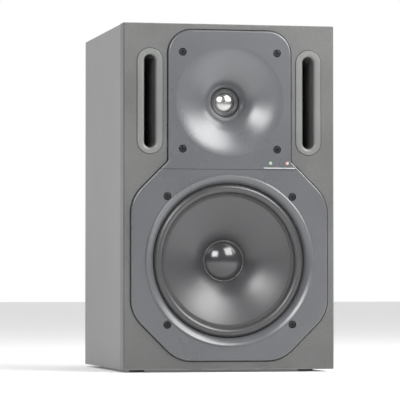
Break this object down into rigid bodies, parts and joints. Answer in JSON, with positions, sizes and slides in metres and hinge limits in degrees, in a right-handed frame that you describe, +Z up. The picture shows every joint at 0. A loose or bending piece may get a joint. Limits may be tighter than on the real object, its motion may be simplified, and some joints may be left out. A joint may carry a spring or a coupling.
{
  "type": "powered two-way monitor loudspeaker",
  "caption": "Powered bookshelf loudspeaker: board cabinet with a waveguide tweeter, cone woofer and slot ports in front, and an amplifier plate with controls behind.",
  "frame": {"origin": "under the middle of the whole loudspeaker, on the surface it stands on", "axes": "+Z up, the baffle faces -Y, +X to the right of someone facing the baffle"},
  "size_m": [0.25, 0.29, 0.403],
  "materials": {
    "cabinet_finish": "grey textured satin lacquer on fibreboard",
    "baffle_finish": "dark grey textured satin lacquer on fibreboard",
    "bare_board": "grey textured satin lacquer on fibreboard",
    "front_moulding": "fine-textured satin grey moulding",
    "port_moulding": "satin grey moulding, dark inside",
    "surround_rubber": "matt black rubber",
    "cone_polymer": "semi-gloss dark grey moulded cone",
    "spider_cloth": "impregnated cloth",
    "gasket_foam": "closed-cell gasket",
    "foot_rubber": "matt black rubber",
    "lining_foam": "open-cell lining",
    "screw_black": "black oxide steel",
    "lamp_green": "tinted light pipe",
    "lamp_red": "tinted light pipe",
    "basket_paint": "black powder coat",
    "former_foil": "thin foil",
    "coil_wire": "enamelled wire",
    "plated_steel": "zinc plated",
    "magnet_ferrite": "sintered ferrite",
    "dome_metal": "satin drawn foil",
    "plate_paint": "black fine-texture paint on sheet",
    "sink_anodised": "black anodised extrusion",
    "board_laminate": "glass-fibre laminate with solder mask",
    "spacer_nylon": "nylon",
    "component_black": "moulded",
    "can_sleeve": "sleeved can",
    "winding_tape": "polyester tape",
    "socket_black": "moulded",
    "pin_nickel": "nickel plated",
    "fuse_glass": "glass tube with metal caps",
    "control_plastic": "moulded",
    "slider_plastic": "moulded",
    "latch_steel": "pressed",
    "lead_sheath": "soft sheath",
    "terminal_board": "laminate"
  },
  "bodies": {
    "cabinet": {"left_side_panel": "cabinet_finish", "right_side_panel": "cabinet_finish", "top_panel": "cabinet_finish", "bottom_panel": "cabinet_finish", "rear_panel": "bare_board", "front_baffle": "baffle_finish", "rubber_feet": "foot_rubber", "damping_foam": "lining_foam", "left_port_duct": "port_moulding", "right_port_duct": "port_moulding", "tweeter_waveguide": "front_moulding", "tweeter_screws": "screw_black", "woofer_bezel": "front_moulding", "woofer_screws": "screw_black", "power_lamp": "lamp_green", "limit_lamp": "lamp_red", "woofer_gasket": "gasket_foam", "woofer_frame": "basket_paint", "woofer_surround": "surround_rubber", "woofer_spider": "spider_cloth", "woofer_top_plate": "plated_steel", "woofer_magnet": "magnet_ferrite", "woofer_yoke": "plated_steel", "tweeter_surround": "surround_rubber", "tweeter_top_plate": "plated_steel", "tweeter_magnet": "magnet_ferrite", "tweeter_yoke": "plated_steel", "driver_terminals": "terminal_board", "driver_leads": "lead_sheath", "amplifier_plate": "plate_paint", "amplifier_plate_screws": "screw_black", "heat_sink": "sink_anodised", "amplifier_board": "board_laminate", "board_spacers": "spacer_nylon", "power_transistors": "component_black", "filter_capacitors": "can_sleeve", "transformer": "winding_tape", "transformer_bolt": "plated_steel", "power_inlet": "socket_black", "inlet_pins": "pin_nickel", "power_switch_frame": "control_plastic", "xlr_socket": "socket_black", "jack_socket": "control_plastic", "jack_nut": "pin_nickel", "trim_potentiometer": "control_plastic", "slide_switch_frames": "control_plastic"},
    "woofer_moving_parts": {"woofer_cone": "cone_polymer", "woofer_dust_cap": "cone_polymer", "woofer_coil_former": "former_foil", "woofer_voice_coil": "coil_wire"},
    "tweeter_moving_parts": {"tweeter_dome": "dome_metal", "tweeter_voice_coil": "coil_wire"},
    "rocker": {"power_switch_rocker": "control_plastic"},
    "fuse_carrier": {"fuse_drawer": "socket_black", "fuse": "fuse_glass"},
    "latch_tab": {"xlr_latch": "latch_steel"},
    "knob": {"trim_knob": "control_plastic"},
    "low_slider": {"low_frequency_slider": "slider_plastic"},
    "room_control": {"room_slider": "slider_plastic"},
    "high_slider": {"high_frequency_slider": "slider_plastic"}
  },
  "joints": [
    {"name": "woofer_excursion", "type": "slide", "parent": "cabinet", "child": "woofer_moving_parts", "axis": [0, -1, 0], "range_m": [-0.005, 0.005], "stiffness_N_per_m": 1500, "deforming": ["woofer_surround", "woofer_spider"]},
    {"name": "tweeter_excursion", "type": "slide", "parent": "cabinet", "child": "tweeter_moving_parts", "axis": [0, -1, 0], "range_m": [-0.0005, 0.0005], "stiffness_N_per_m": 100, "deforming": ["tweeter_surround"]},
    {"name": "power_rocker_hinge", "type": "hinge", "parent": "cabinet", "child": "rocker", "pos_m": [-0.01, 0.1215, 0.093], "axis": [1, 0, 0], "range_deg": [0, 20]},
    {"name": "fuse_drawer_slide", "type": "slide", "parent": "cabinet", "child": "fuse_carrier", "axis": [0, 1, 0], "range_m": [0, 0.026]},
    {"name": "latch_press", "type": "slide", "parent": "cabinet", "child": "latch_tab", "axis": [0, -1, 0], "range_m": [0, 0.0016], "stiffness_N_per_m": 100},
    {"name": "trim_turn", "type": "hinge", "parent": "cabinet", "child": "knob", "pos_m": [0.068, 0.1225, 0.163], "axis": [0, 1, 0], "range_deg": [-150, 150]},
    {"name": "low_frequency_slide", "type": "slide", "parent": "cabinet", "child": "low_slider", "axis": [1, 0, 0], "range_m": [-0.0022, 0.0022]},
    {"name": "room_slide", "type": "slide", "parent": "cabinet", "child": "room_control", "axis": [1, 0, 0], "range_m": [-0.0022, 0.0022]},
    {"name": "high_frequency_slide", "type": "slide", "parent": "cabinet", "child": "high_slider", "axis": [1, 0, 0], "range_m": [-0.0022, 0.0022]}
  ]
}
